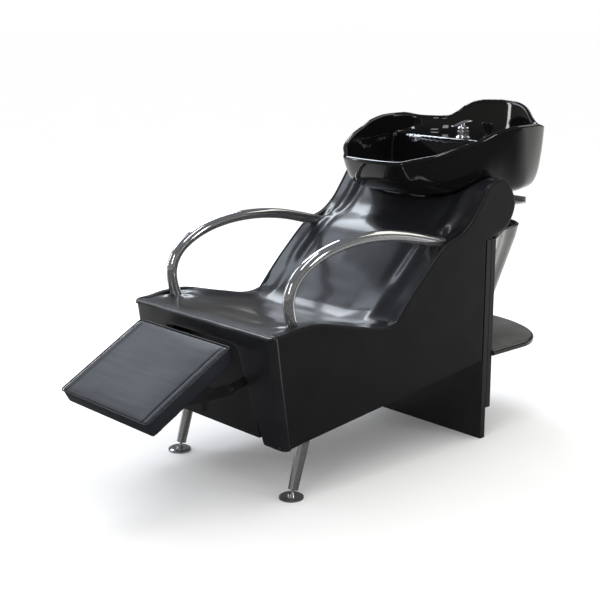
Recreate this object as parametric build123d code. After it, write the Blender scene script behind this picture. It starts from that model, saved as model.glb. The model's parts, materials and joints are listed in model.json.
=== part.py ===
from build123d import *
import math
import os

# Shampoo backwash unit. Millimetres, +Z up, the sitter faces -Y, the sitter's left is +X.
# Parts are drawn from the rear edge of the chair body (Y = 0, floor at Z = 0) and are
# shifted on saving, so that the origin is the centre of the pedestal's foot on the floor.

os.makedirs("parts", exist_ok=True)

# ---- driving dimensions ----
BODY_HALF = 280             # half width of the chair body
PANEL_T = 22                # upholstered side panel
GAP = 0.5                   # fitting gap between panels and cushions
BOLSTER_INNER = 226         # inner face of the padded side bolsters
BOTTOM_REAR_Z = 234         # underside of the body at its rear edge
BOTTOM_FRONT_Y = -758
BOTTOM_FRONT_Z = 149
SEAT_BOARD_Z = 350
SEAT_BOARD_T = 12
PED_BOARD_T = 18
PED_TOP = 583
PED_REAR_FOOT = 90          # the rear board stops above the floor
ORIGIN_Y = 10               # centre of the pedestal front board, behind the body edge
SHELF_TOP = 258
SHELF_T = 18
SHELF_HALF = 285
COWL_WALL = 4
ARM_X = 238
ARM_R = 15
ARM_BORE = 12.8
ARM_TUNNEL = 19.2           # opening in the foam around an arm tube
LEG_X = 235
LEG_RAKE = 16
LEG_FOOT_Y = -693
LEG_BOTTOM_Z = 21.5
FOOT_R = 31.5
LINK_A = (-735, 312)        # arm pivot in the body, as (Y, Z)
LINK_B = (-815, 294)        # pad pivot at the end of the arm
LINK_END_R = 13
ARM_PLATE_X = (138.5, 142.5)
BAR_X = (143.5, 147.5)
PIVOT_PLATE_X = (133.5, 137.5)
PAD_TOP_END = (-845, 421)   # rear end of the pad's top face, as (Y, Z)
PAD_LEN = 292
PAD_HALF = 188
PAD_T = 45
PAD_SLOPE = 29.1
PAD_BOARD_T = 10
RECESS_Y = -736
RECESS_T = 15
FASCIA_Z = (405, 421)
TILT_AXIS = (225, 656)      # basin tilt axis, as (Y, Z)
CRADLE_Z = 674
CRADLE_T = 5
BRACKET_Z = 636
BRACKET_T = 5
BASIN_BOTTOM = 686
BASIN_WALL = 14
BASIN_HALF = 266
DECK_Z = 828
DECK_T = 12
DECK_FRONT = 184
DRAIN_Y = 120
TAP_Y = 215
SPRAY_XY = (88, 226)
HOSE_R = 6
SUPPLY_XY = (46, 100)       # lower ends of the supply hoses
SUPPLY_END_Z = 140
SUPPLY_END_R = 8
DRAIN_END_Z = 130
DRAIN_END_R = 20
DRAIN_BORE_R = 18
FLOOR_BOLT_X = 80
FLOOR_BOLT_Y = (40, 130)
FLOOR_BOLT_R = 5.5
HOSE_NOTCH = 60             # half width of the way left for the hoses near the floor
MAST_HALF = 30
MAST_Y = (44, 84)
MAST_WALL = 3


# ---- small helpers ----
def block(x0, x1, y0, y1, z0, z1):
    centre = Pos((x0 + x1) / 2, (y0 + y1) / 2, (z0 + z1) / 2)
    return centre * Box(x1 - x0, y1 - y0, z1 - z0)


def rod(start, direction, radius, length, top_radius=None):
    """A cylinder, or a cone when top_radius is given, from start along direction."""
    low = (Align.CENTER, Align.CENTER, Align.MIN)
    if top_radius is None:
        shape = Cylinder(radius, length, align=low)
    else:
        shape = Cone(radius, top_radius, length, align=low)
    return Plane(origin=start, z_dir=direction) * shape


def hexagon(start, direction, across_flats, length):
    face = RegularPolygon(across_flats / 2, 6, major_radius=False)
    return extrude(Plane(origin=start, z_dir=direction) * face, amount=length)


def side_prism(edges, x0, x1):
    """Extrude a closed side outline, drawn as (Y, Z), from x0 to x1."""
    face = Plane.YZ.offset(x0) * make_face(edges)
    return extrude(face, amount=x1 - x0, dir=(1, 0, 0))


def polygon_prism(points, x0, x1):
    return side_prism(Polyline(*points, close=True).edges(), x0, x1)


def mirrored(shape):
    return mirror(shape, about=Plane.YZ)


def group(shapes):
    return Compound(children=[solid for shape in shapes for solid in shape.solids()])


def save(name, shape):
    export_step(Pos(0, -ORIGIN_Y, 0) * shape, f"parts/{name}.step")


def save_pair(name, left):
    save(name + "_left", left)
    save(name + "_right", mirrored(left))


def bottom_z(y):
    """Height of the body's sloping underside at depth y."""
    return BOTTOM_REAR_Z + (BOTTOM_FRONT_Z - BOTTOM_REAR_Z) * y / BOTTOM_FRONT_Y


# ---- side outlines ----
def seat_line(rear_y=-357):
    points = [(-788, 448), (-752, 450), (-703, 456), (-631, 454), (-533, 431), (-439, 409)]
    return Spline(*points, (rear_y, 411))


def lip_line():
    return ThreePointArc((-799, 437), (-796, 445), (-788, 448))


def back_line():
    points = [(-355, 412), (-310, 463), (-260, 513), (-176, 586), (-105, 614), (-60, 648)]
    return Spline(*points, (-22, 695), (8, 733), (53, 750))


def wing_line(end):
    return Spline((53, 750), (93, 728), (119, 683), (113, 645), (86, 612), (48, 598), end)


# ---- chair body ----
def side_panel():
    front = Polyline((BOTTOM_FRONT_Y, BOTTOM_FRONT_Z), (-787, 344), (-799, 437))
    crease = Line((-357, 411), (-355, 412))
    rear = Polyline((0, 583), (0, BOTTOM_REAR_Z), (BOTTOM_FRONT_Y, BOTTOM_FRONT_Z))
    edges = front.edges() + lip_line().edges() + seat_line().edges() + crease.edges()
    edges = edges + back_line().edges() + wing_line((0, 583)).edges() + rear.edges()
    return side_prism(edges, BODY_HALF - PANEL_T, BODY_HALF)


INNER = BODY_HALF - PANEL_T - GAP


def arm_path(x):
    """Centre line of an arm: up from the seat, over, and down into the back cushion."""
    points = [(-670, 356), (-691, 450), (-703, 515), (-688, 557), (-635, 600), (-545, 630)]
    points += [(-430, 640), (-300, 627), (-200, 603), (-100, 577)]
    curve = Spline(*points, tangents=[(-0.2, 1), (1, -0.26)])
    return Plane.YZ.offset(x) * curve


def arm_solid(x, profile):
    path = arm_path(x)
    return sweep(Plane(origin=path @ 0, z_dir=path % 0) * profile, path=path)


def arm_rest():
    return arm_solid(ARM_X, Circle(ARM_R) - Circle(ARM_BORE))


def arm_sockets():
    """Steel cups, fixed to the side panels, that hold the four tube ends."""
    path = arm_path(ARM_X)
    cups = []
    for end, sign in ((0, 1), (1, -1)):
        axis = (path % end) * sign
        base = (path @ end) - axis * 6
        cup = rod(base, axis, 18.6, 30) - rod(base + axis * 5, axis, ARM_R + 0.6, 40)
        cups.append(cup)
        cups.append(mirrored(cup))
    return group(cups)


def arm_tunnels():
    """Openings in the foam for both arms, a little past each tube's end."""
    path = arm_path(ARM_X)
    tools = [arm_solid(ARM_X, Circle(ARM_TUNNEL))]
    tools.append(rod((path @ 1) - (path % 1) * 40, path % 1, ARM_TUNNEL + 0.4, 52))
    tools.append(rod((path @ 0) + (path % 0) * 40, (path % 0) * -1, ARM_TUNNEL + 0.4, 52))
    return tools + [mirrored(tool) for tool in tools]


def cut(shape, tools):
    for tool in tools:
        shape = shape - tool
    return shape


def front_post():
    strip = [(-797, 404), (-787, 344), (-758, 150), (-737, 152), (-762, 344), (-773, 404)]
    across = Polyline((149, 420), (INNER, 420), (INNER, 140), (204, 140), (187, 213),
                      (170, 290), close=True)
    depth = extrude(Plane.XZ.offset(700) * make_face(across.edges()), amount=120)
    return polygon_prism(strip, 140, INNER) & depth


def front_fascia():
    low, high = FASCIA_Z
    points = [(-797, low), (-799, high), (-773, high), (-773, low)]
    return polygon_prism(points, -INNER, INNER)


def recess_board():
    foot = bottom_z(RECESS_Y) + 1
    half = Polyline((-162, foot), (162, foot), (116, 395), (-116, 395), close=True)
    plane = Plane.XZ.offset(-RECESS_Y)
    board = extrude(plane * make_face(half.edges()), amount=-RECESS_T)
    for side in (-1, 1):
        slot = block(-20, 20, RECESS_Y - 5, RECESS_Y + 25, 288, 342)
        board = board - Pos(side * 149, 0, 0) * slot
    return board


def seat_board():
    return block(-INNER, INNER, -640, -345, SEAT_BOARD_Z, SEAT_BOARD_Z + SEAT_BOARD_T)


def back_board():
    points = [(-300, 379), (-60, 569), (-52.6, 559.6), (-292.6, 369.6)]
    return polygon_prism(points, -INNER, INNER)


def cross_rails():
    front = block(-INNER, INNER, -690, -662, 300, 340)
    middle = block(-INNER, INNER, -365, -337, 300, 349)
    return group([front, middle])


def bottom_panel():
    lift = 5
    low = RECESS_Y + RECESS_T + 1
    points = [(low, bottom_z(low)), (-16, bottom_z(-16)), (-16, bottom_z(-16) + lift),
              (low, bottom_z(low) + lift)]
    panel = polygon_prism(points, -INNER, INNER)
    for side in (-1, 1):
        panel = panel - leg_stud(side * LEG_X, 4.6, 30)
    return panel


def rear_panel():
    panel = block(-INNER, INNER, -13, -1, 242, 575)
    return panel - group(bolt_row(4.5, -20, 0))


def seat_cushion():
    under = Polyline((-359, 411), (-362, 364), (-648, 364), (-668, 423), (-799, 423), (-799, 437))
    edges = seat_line(-359).edges() + under.edges() + lip_line().edges()
    solid = side_prism(edges, -INNER, INNER)
    return cut(solid, arm_tunnels())


def back_cushion():
    points = [(-355, 412), (-310, 463), (-260, 513), (-176, 586), (-105, 614), (-62, 644)]
    front = Spline(*points)
    rest = Polyline((-62, 644), (-35, 668), (-16, 668), (-16, 590), (-42, 584),
                    (-61, 571), (-301, 381), (-340, 366), (-355, 412))
    solid = side_prism(front.edges() + rest.edges(), -BOLSTER_INNER + GAP, BOLSTER_INNER - GAP)
    return cut(solid, arm_tunnels())


def side_bolster():
    rest = Polyline((-2, 590), (-42, 584), (-61, 571), (-301, 381), (-340, 366), (-355, 412))
    edges = back_line().edges() + wing_line((-2, 590)).edges() + rest.edges()
    return cut(side_prism(edges, BOLSTER_INNER, INNER), arm_tunnels())


# ---- front legs ----
def leg_axis():
    rake = math.radians(LEG_RAKE)
    return Vector(0, math.sin(rake), math.cos(rake))


def leg_point(height):
    """Point on the leg's centre line at a height above the floor."""
    return (LEG_FOOT_Y + math.tan(math.radians(LEG_RAKE)) * height, height)


def bottom_normal():
    slope = math.atan((BOTTOM_REAR_Z - BOTTOM_FRONT_Z) / -BOTTOM_FRONT_Y)
    return Vector(0, -math.sin(slope), math.cos(slope))


def leg_stud(x, radius, length):
    y, _ = leg_point(156)
    return rod((x, y, bottom_z(y) - 8), bottom_normal(), radius, length)


def leg_plate(x):
    y, _ = leg_point(156)
    normal = bottom_normal()
    seat = Plane(origin=(x, y, bottom_z(y)), x_dir=(1, 0, 0), z_dir=normal)
    plate = seat * Pos(0, 0, -2.2) * Box(60, 60, 4)
    return plate - leg_stud(x, 4.3, 30)


def front_leg():
    y, z = leg_point(LEG_BOTTOM_Z)
    body = rod((LEG_X, y, z), leg_axis(), 13, 160, top_radius=16.8)
    lid_y, _ = leg_point(156)
    lid = Plane(origin=(LEG_X, lid_y, bottom_z(lid_y) - 4.4), x_dir=(1, 0, 0), z_dir=bottom_normal())
    body = body - lid * Pos(0, 0, 60) * Box(120, 120, 120)
    body = body - rod(Vector(LEG_X, y, z) - leg_axis() * 5, leg_axis(), 4.3, 50)
    return body + leg_stud(LEG_X, 4, 24)


def foot():
    y, _ = leg_point(0)
    disc = rod((LEG_X, y, 0), (0, 0, 1), FOOT_R, 5)
    crown = rod((LEG_X, y, 5), (0, 0, 1), FOOT_R, 3, top_radius=FOOT_R - 5)
    hub = rod((LEG_X, y, 8), (0, 0, 1), 9, 4)
    stem_y, stem_z = leg_point(9)
    stem = rod((LEG_X, stem_y, stem_z), leg_axis(), 4, 38)
    return disc + crown + hub + stem


# ---- legrest ----
def link_plate(points, ends, radius, x_range):
    """Flat link between pivots, drawn as (Y, Z), with round ends."""
    x0, x1 = x_range
    plate = polygon_prism(points, x0, x1)
    for y, z in ends:
        plate = plate + rod((x0, y, z), (1, 0, 0), radius, x1 - x0)
    return plate


def pivot_hole(centre, radius):
    return rod((120, centre[0], centre[1]), (1, 0, 0), radius, 40)


def arm_plate():
    (ay, az), (by, bz) = LINK_A, LINK_B
    points = [(ay, az + 13), (by + 6, bz + 11), (by - 6, bz - 11), (by + 8, bz - 11), (ay, az - 13)]
    plate = link_plate(points, [LINK_A, LINK_B], LINK_END_R, ARM_PLATE_X)
    return plate - pivot_hole(LINK_A, 5.1) - pivot_hole(LINK_B, 4.1)


def pivot_brackets():
    """Plates fixed to the front cross rail that carry the arm pivots."""
    x0, x1 = PIVOT_PLATE_X
    points = [(-735, 299), (-735, 325), (-691, 332), (-691, 304)]
    plate = link_plate(points, [LINK_A], LINK_END_R, PIVOT_PLATE_X) - pivot_hole(LINK_A, 5.1)
    foot_plate = block(x0 - 24, x1, -693.5, -690.5, 302, 338)
    plate = plate + foot_plate
    return group([plate, mirrored(plate)])


def arm_pivot_pins():
    y, z = LINK_A
    pin = rod((PIVOT_PLATE_X[0] - 0.5, y, z), (1, 0, 0), 5, ARM_PLATE_X[1] - PIVOT_PLATE_X[0] + 0.8)
    pin = pin + rod((PIVOT_PLATE_X[0] - 4.5, y, z), (1, 0, 0), 8, 4)
    return group([pin, mirrored(pin)])


def pad_bolts():
    y, z = LINK_B
    shank = rod((ARM_PLATE_X[0] - 0.6, y, z), (1, 0, 0), 4, BAR_X[1] - ARM_PLATE_X[0] + 0.8)
    head = rod((BAR_X[1] + 0.2, y, z), (1, 0, 0), 6, 3.2)
    nut = hexagon((ARM_PLATE_X[0] - 5.6, y, z), (1, 0, 0), 11, 5)
    bolt = shank + head + nut
    return group([bolt, mirrored(bolt)])


def pad_point(along, up):
    """(Y, Z) at a distance along the pad from its rear end and up from its underside."""
    slope = math.radians(PAD_SLOPE)
    y = PAD_TOP_END[0] - along * math.cos(slope) - (up - PAD_T) * math.sin(slope)
    z = PAD_TOP_END[1] - along * math.sin(slope) + (up - PAD_T) * math.cos(slope)
    return (y, z)


def pad_slab(start, end, low, high, half):
    corners = [pad_point(start, low), pad_point(end, low), pad_point(end, high), pad_point(start, high)]
    return polygon_prism(corners, -half, half)


PAD_INSET = 12


def pad_screw_places():
    return [(side * 134, along) for side in (-1, 1) for along in (110, 170)]


def pad_rod(x, along, low, high, radius):
    slope = math.radians(PAD_SLOPE)
    y, z = pad_point(along, low)
    return rod((x, y, z), (0, -math.sin(slope), math.cos(slope)), radius, high - low)


def pad_board():
    board = pad_slab(PAD_INSET, PAD_LEN - PAD_INSET, 0, PAD_BOARD_T, PAD_HALF - PAD_INSET)
    for x, along in pad_screw_places():
        board = board - pad_rod(x, along, -1, 8, 2.6)
    return board


def legrest_cushion():
    slab = pad_slab(0, PAD_LEN, 0, PAD_T, PAD_HALF)
    slab = fillet(slab.edges().filter_by(Axis.X), 9)
    pocket = pad_slab(PAD_INSET - 0.4, PAD_LEN - PAD_INSET + 0.4, -2, PAD_BOARD_T + 0.4,
                      PAD_HALF - PAD_INSET + 0.4)
    return slab - pocket


def pad_bracket():
    y, z = LINK_B
    x0, x1 = BAR_X
    under = -0.3
    points = [(y, z + 13), (-868, 307), pad_point(95, under), pad_point(185, under), (-975, 284),
              (-903, 280), (-903, 256), (-890, 256), (-890, 280), (y, z - 13)]
    bar = link_plate(points, [LINK_B], LINK_END_R, BAR_X) - pivot_hole(LINK_B, 4.0)
    lows = [pad_point(95, under - 3), pad_point(185, under - 3), pad_point(185, under), pad_point(95, under)]
    flange = polygon_prism(lows, 126, x1)
    bracket = bar + flange
    for x, along in pad_screw_places():
        if x > 0:
            bracket = bracket - pad_rod(x, along, -6, 2, 2.7)
    return bracket


def pad_screws():
    screws = []
    for x, along in pad_screw_places():
        screws.append(pad_rod(x, along, -3.6, 7, 2.4) + pad_rod(x, along, -6.1, -3.5, 4.5))
    return group(screws)


# ---- pedestal ----
def bolt_places():
    return [(x, z) for x in (-120, 120) for z in (300, 520)]


def bolt_row(radius, y0, y1):
    return [rod((x, y0, z), (0, 1, 0), radius, y1 - y0) for x, z in bolt_places()]


def pedestal_board(y0, z0):
    board = block(-BODY_HALF, BODY_HALF, y0, y0 + PED_BOARD_T, z0, PED_TOP)
    return board - group(bolt_row(4.5, -20, 60))


def chair_bolts():
    bolts = []
    for x, z in bolt_places():
        shank = rod((x, -13.2, z), (0, 1, 0), 4, 58)
        head = rod((x, -18, z), (0, 1, 0), 9, 4.8)
        nut = hexagon((x, 39.3, z), (0, 1, 0), 13, 6)
        bolts.append(shank + head + nut)
    return group(bolts)


COWL_Y = 39.5


def cowl_section(scale, z, inset=0.0, front=COWL_Y):
    """Bell-shaped plan of the cowl, scaled about the middle of its open front."""
    shape = [(280, 0), (230, 89), (203, 148), (192, 205), (150, 262), (80, 290), (0, 297)]
    right = [(x * scale - inset, front + y * scale) for x, y in shape[:1]]
    right += [(x * scale - inset, COWL_Y + y * scale - inset) for x, y in shape[1:-1]]
    left = [(-x, y) for x, y in reversed(right)]
    rear = (0, COWL_Y + shape[-1][1] * scale - inset)
    curve = Spline(*right, rear, *left)
    return Plane.XY.offset(z) * make_face(curve.edges() + Line(left[-1], right[0]).edges())


def cowl_shell(levels):
    outer = loft([cowl_section(scale, z) for scale, z in levels], ruled=True)
    lowest, highest = levels[0][1], levels[-1][1]
    inside = []
    for scale, z in levels:
        z = z - 1 if z == lowest else z + 1 if z == highest else z
        inside.append(cowl_section(scale, z, inset=COWL_WALL, front=COWL_Y - 5))
    return outer - loft(inside, ruled=True)


UPPER_LEVELS = [(0.64, SHELF_TOP + GAP), (0.973, 548), (1.0, PED_TOP)]
LOWER_LEVELS = [(0.25, 95), (0.88, SHELF_TOP - SHELF_T - GAP)]


def cowl_screw_places():
    return [(side * x, z) for side in (-1, 1) for x, z in ((177, 310), (250, 550))]


def upper_cowl():
    shell = cowl_shell(UPPER_LEVELS)
    for x, z in cowl_screw_places():
        shell = shell + block(x - 13, x + 13, COWL_Y, COWL_Y + 4, z - 12, z + 12)
    for x, z in cowl_screw_places():
        shell = shell - rod((x, 30, z), (0, 1, 0), 2.7, 30)
    return shell


def lower_cowl():
    """Lower shell, open at the rear foot where the hoses leave."""
    return cowl_shell(LOWER_LEVELS) - block(-HOSE_NOTCH, HOSE_NOTCH, 84, 200, 80, 176)


def cowl_screws():
    screws = []
    for x, z in cowl_screw_places():
        screws.append(rod((x, 29, z), (0, 1, 0), 2.4, 15) + rod((x, 43.8, z), (0, 1, 0), 4.5, 3))
    return group(screws)


def pedestal_rear_board():
    board = pedestal_board(21, PED_REAR_FOOT)
    for x, z in cowl_screw_places():
        board = board - rod((x, 28, z), (0, 1, 0), 2.6, 20)
    return board


def shelf():
    straight = 185
    reach = 370 - straight
    oval = Pos(0, straight, 0) * Ellipse(SHELF_HALF, reach)
    front = Pos(0, (COWL_Y + straight) / 2, 0) * Rectangle(2 * SHELF_HALF, straight - COWL_Y)
    plan = oval + front - Pos(0, COWL_Y - 100, 0) * Rectangle(700, 200)
    board = extrude(Plane.XY.offset(SHELF_TOP - SHELF_T) * plan, amount=SHELF_T)
    return board - block(-62, 62, 30, 165, 200, 300)


def base_plate():
    plate = block(-100, 100, 20, 150, 0, 8) - block(-HOSE_NOTCH, HOSE_NOTCH, 87, 151, -1, 9)
    for x in (-FLOOR_BOLT_X, FLOOR_BOLT_X):
        for y in FLOOR_BOLT_Y:
            plate = plate - rod((x, y, -1), (0, 0, 1), FLOOR_BOLT_R, 10)
    return plate


def mast():
    y0, y1 = MAST_Y
    outer = block(-MAST_HALF, MAST_HALF, y0, y1, 8.1, BRACKET_Z - 0.1)
    inner = block(-MAST_HALF + MAST_WALL, MAST_HALF - MAST_WALL, y0 + MAST_WALL, y1 - MAST_WALL, 8, BRACKET_Z)
    return outer - inner


# ---- basin support ----
def tilt_bracket():
    y, z = TILT_AXIS
    top = BRACKET_Z + BRACKET_T
    plate = block(-150, 150, 42, 340, BRACKET_Z, top)
    plate = plate - block(-75, 75, 172, 278, 600, 700) - rod((0, DRAIN_Y, 600), (0, 0, 1), 32, 100)
    plate = plate + block(-150, 150, 335, 340, top, top + 14)
    for side in (-1, 1):
        cheek = block(100, 104, y - 20, y + 20, top, z) + rod((100, y, z), (1, 0, 0), 14, 4)
        cheek = cheek - rod((90, y, z), (1, 0, 0), 5.1, 30)
        plate = plate + (cheek if side > 0 else mirrored(cheek))
    return plate


def cradle():
    y, z = TILT_AXIS
    top = CRADLE_Z + CRADLE_T
    plate = block(-120, 120, 32, 198, CRADLE_Z, top)
    for side in (-1, 1):
        ear = block(80, 98, 190, y + 14, CRADLE_Z, top) + block(94, 98, y - 14, y + 14, z, top)
        ear = ear + rod((94, y, z), (1, 0, 0), 12, 4)
        ear = ear - rod((80, y, z), (1, 0, 0), 5.1, 30)
        plate = plate + (ear if side > 0 else mirrored(ear))
    return plate - rod((0, DRAIN_Y, 600), (0, 0, 1), 21, 200)


def tilt_pins():
    y, z = TILT_AXIS
    pin = rod((93, y, z), (1, 0, 0), 5, 12) + rod((105, y, z), (1, 0, 0), 8, 4)
    return group([pin, mirrored(pin)])


def basin_pads():
    z = CRADLE_Z + CRADLE_T + 0.1
    return group([rod((x, y, z), (0, 0, 1), 14, BASIN_BOTTOM - z - 0.1) for x in (-85, 85) for y in (62, 168)])


# ---- basin ----
def basin_plan(z, half, front, rear, inset=0.0):
    """Closed plan of the basin: pointed lobes beside the neck, widest behind the middle."""
    shape = [(0, 0.0), (60, 0.004), (110, 0.020), (189, 0.150), (222, 0.257), (241, 0.353),
             (261, 0.530), (266, 0.620), (256, 0.730), (225, 0.835), (160, 0.920), (80, 0.985), (0, 1.0)]
    length = rear - front - 2 * inset
    right = [(x / BASIN_HALF * (half - inset), front + inset + t * length) for x, t in shape]
    left = [(-x, y) for x, y in reversed(right[1:-1])]
    curve = Spline(*right, *left, periodic=True)
    return Plane.XY.offset(z) * make_face(curve.edges())


BASIN_LEVELS = [
    (BASIN_BOTTOM, 165, 8, 214),
    (698, 190, -66, 290),
    (733, 229, -150, 360),
    (793, 251, -188, 384),
    (845, 262, -190, 391),
    (895, 265, -190, 395),
    (950, 266, -190, 397),
]


def basin_outer():
    return loft([basin_plan(z, half, front, rear) for z, half, front, rear in BASIN_LEVELS])


def basin_inner():
    levels = BASIN_LEVELS[1:]
    sections = [basin_plan(BASIN_BOTTOM + BASIN_WALL, 146, 24, 190)]
    sections += [basin_plan(z + 12, half, front, rear, inset=12) for z, half, front, rear in levels]
    return loft(sections)


def splash_back():
    """The part of the rim that stands up behind the tap."""
    arch = Spline((-185, 872), (-140, 892), (-95, 926), (0, 934), (95, 926), (140, 892), (185, 872))
    foot = Polyline((185, 872), (185, 780), (-185, 780), (-185, 872))
    face = Plane.XZ.offset(-310) * make_face(arch.edges() + foot.edges())
    return extrude(face, amount=-110)


def rim_trim():
    """Everything above the rim line, which climbs rearward from the neck to the splash-back."""
    rim = Spline((-210, 796), (-186, 797), (-150, 806), (-100, 821), (-39, 842), (17, 858), (73, 877),
                 (149, 888), (225, 889), (300, 877), (410, 874))
    rest = Polyline((410, 874), (410, 1000), (-210, 1000), (-210, 796))
    return side_prism(rim.edges() + rest.edges(), -300, 300) - splash_back()


def basin():
    """Bowl with a deck for the tap; the deck is hollow beneath and open below for the plumbing."""
    cavity = basin_inner()
    deck = block(-300, 300, DECK_FRONT, 420, 600, DECK_Z)
    chase_front = DECK_FRONT + DECK_T
    chase = cavity & block(-300, 300, chase_front, 420, 600, DECK_Z - DECK_T)
    opening = block(-140, 140, chase_front, 262, 640, 740)
    shell = basin_outer() - (cavity - deck) - rim_trim()
    shell = shell - chase - opening
    shell = shell - rod((0, DRAIN_Y, 650), (0, 0, 1), 23, 80)
    shell = shell - rod((0, TAP_Y, 800), (0, 0, 1), 16, 50)
    x, y = SPRAY_XY
    return shell - rod((x, y, 800), (0, 0, 1), 14, 50)


FLOOR_Z = BASIN_BOTTOM + BASIN_WALL


def drain_flange():
    flange = rod((0, DRAIN_Y, FLOOR_Z + 0.3), (0, 0, 1), 34, 3) + rod((0, DRAIN_Y, 642), (0, 0, 1), 20, 60)
    return flange - rod((0, DRAIN_Y, 640), (0, 0, 1), 17, 70)


def drain_nut():
    return hexagon((0, DRAIN_Y, 664), (0, 0, 1), 54, 9.8) - rod((0, DRAIN_Y, 650), (0, 0, 1), 20.2, 60)


def hair_strainer():
    z = FLOOR_Z + 3.5
    dome = rod((0, DRAIN_Y, z), (0, 0, 1), 24, 2) + rod((0, DRAIN_Y, z + 2), (0, 0, 1), 22, 3, top_radius=12)
    basket = rod((0, DRAIN_Y, z - 14), (0, 0, 1), 14, 15) - rod((0, DRAIN_Y, z - 15), (0, 0, 1), 12, 14)
    strainer = dome + basket
    for ring, count in ((8, 6), (17, 12)):
        for index in range(count):
            angle = 2 * math.pi * index / count
            x = ring * math.cos(angle)
            y = DRAIN_Y + ring * math.sin(angle)
            strainer = strainer - rod((x, y, z - 20), (0, 0, 1), 1.8, 40)
    return strainer


def drain_hose():
    top = 639
    hose = rod((0, DRAIN_Y, DRAIN_END_Z + 20), (0, 0, 1), DRAIN_END_R + 1, top - DRAIN_END_Z - 20)
    spigot = rod((0, DRAIN_Y, DRAIN_END_Z), (0, 0, 1), DRAIN_END_R, 22)
    return hose + spigot - rod((0, DRAIN_Y, DRAIN_END_Z - 10), (0, 0, 1), DRAIN_BORE_R, 530)


# ---- tap ----
def tap_body():
    base = rod((0, TAP_Y, DECK_Z + 0.2), (0, 0, 1), 24, 5)
    column = rod((0, TAP_Y, DECK_Z + 5), (0, 0, 1), 18, 19)
    shank = rod((0, TAP_Y, 790), (0, 0, 1), 14, 40)
    body = base + column + shank - rod((0, TAP_Y, 838), (0, 0, 1), 13, 30)
    return body - rod((0, TAP_Y, 780), (0, 0, 1), 10, 40)


def tap_cartridge():
    return rod((0, TAP_Y, 838.2), (0, 0, 1), 12.8, 14.8) + rod((0, TAP_Y, 853), (0, 0, 1), 5, 4)


LEVER_PIVOT = (222, 868)


def tap_cap():
    y, z = LEVER_PIVOT
    skirt = rod((0, TAP_Y, 852.6), (0, 0, 1), 18, 6) + rod((0, TAP_Y, 858.6), (0, 0, 1), 18, 5, top_radius=13)
    skirt = skirt - rod((0, TAP_Y, 850), (0, 0, 1), 13.2, 8)
    lug = block(-3.5, 3.5, y - 4, y + 4, 862, z) + rod((-3.5, y, z), (1, 0, 0), 4, 7)
    return skirt + lug - rod((-10, y, z), (1, 0, 0), 1.6, 20)


def tap_lever():
    y, z = LEVER_PIVOT
    blade = [(163, 864), (163, 868), (205, 878), (240, 881), (250, 879), (250, 876), (205, 873)]
    half_tip = 5
    plan = Polyline((-half_tip, 160), (half_tip, 160), (11, 250), (-11, 250), close=True)
    column = extrude(Plane.XY.offset(850) * make_face(plan.edges()), amount=40)
    lever = polygon_prism(blade, -12, 12) & column
    for side in (-1, 1):
        cheek = block(4, 7.3, y - 4, y + 4, z, 876) + rod((4, y, z), (1, 0, 0), 3.6, 3.3)
        cheek = cheek - rod((0, y, z), (1, 0, 0), 1.6, 20)
        lever = lever + (cheek if side > 0 else mirrored(cheek))
    return lever


def spray_holder():
    x, y = SPRAY_XY
    ring = rod((x, y, DECK_Z + 0.2), (0, 0, 1), 19, 4) + rod((x, y, 806), (0, 0, 1), 13.7, 34)
    return ring - rod((x, y, 800), (0, 0, 1), 11.6, 60)


def spray_head():
    x, y = SPRAY_XY
    handle = rod((x, y, 808), (0, 0, 1), 11.3, 46) + rod((x, y, 854), (0, 0, 1), 11.3, 14, top_radius=17)
    head = rod((x, y - 3, 868), (0, -0.25, 1), 18, 12)
    return handle + head


def spray_hose():
    """U-shaped hose from the spray, under the deck and up to the tap's shank."""
    x, y = SPRAY_XY
    shank_x = 26
    top = 770
    radius = (x - shank_x) / 2
    plane = Plane(origin=(0, y, top), x_dir=(1, 0, 0), z_dir=(0, -1, 0))
    line = plane * ThreePointArc((x, 0), (x - radius, -radius), (shank_x, 0))
    bend = sweep(Plane(origin=line @ 0, z_dir=line % 0) * Circle(HOSE_R), path=line)
    rise = rod((x, y, top), (0, 0, 1), HOSE_R, 35)
    link = rod((shank_x, y, top), (0, 0, 1), HOSE_R, 14)
    return bend + rise + link


def supply_tails():
    """Rigid tails that hang from the tap's shank inside the basin."""
    tails = []
    for side in (-1, 1):
        tails.append(rod((side * 6, TAP_Y - 4, 700), (0, 0, 1), 5, 88))
    return group(tails)


def supply_hose(side):
    """Hose from below the tap, round the mast and down to a plain tail for a clip."""
    x, y = SUPPLY_XY
    x = side * x
    path = Spline((side * 7, 212, 690), (side * 12, 205, 600), (x, y + 12, 500),
                  (x, y + 2, 300), (x, y, SUPPLY_END_Z + 30))
    profile = Plane(origin=path @ 0, z_dir=path % 0) * Circle(HOSE_R)
    hose = sweep(profile, path=path)
    end = rod((x, y, SUPPLY_END_Z), (0, 0, 1), SUPPLY_END_R, 30.5)
    collar = hexagon((x, y, SUPPLY_END_Z + 18), (0, 0, 1), 22, 10)
    return hose + end + collar


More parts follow.
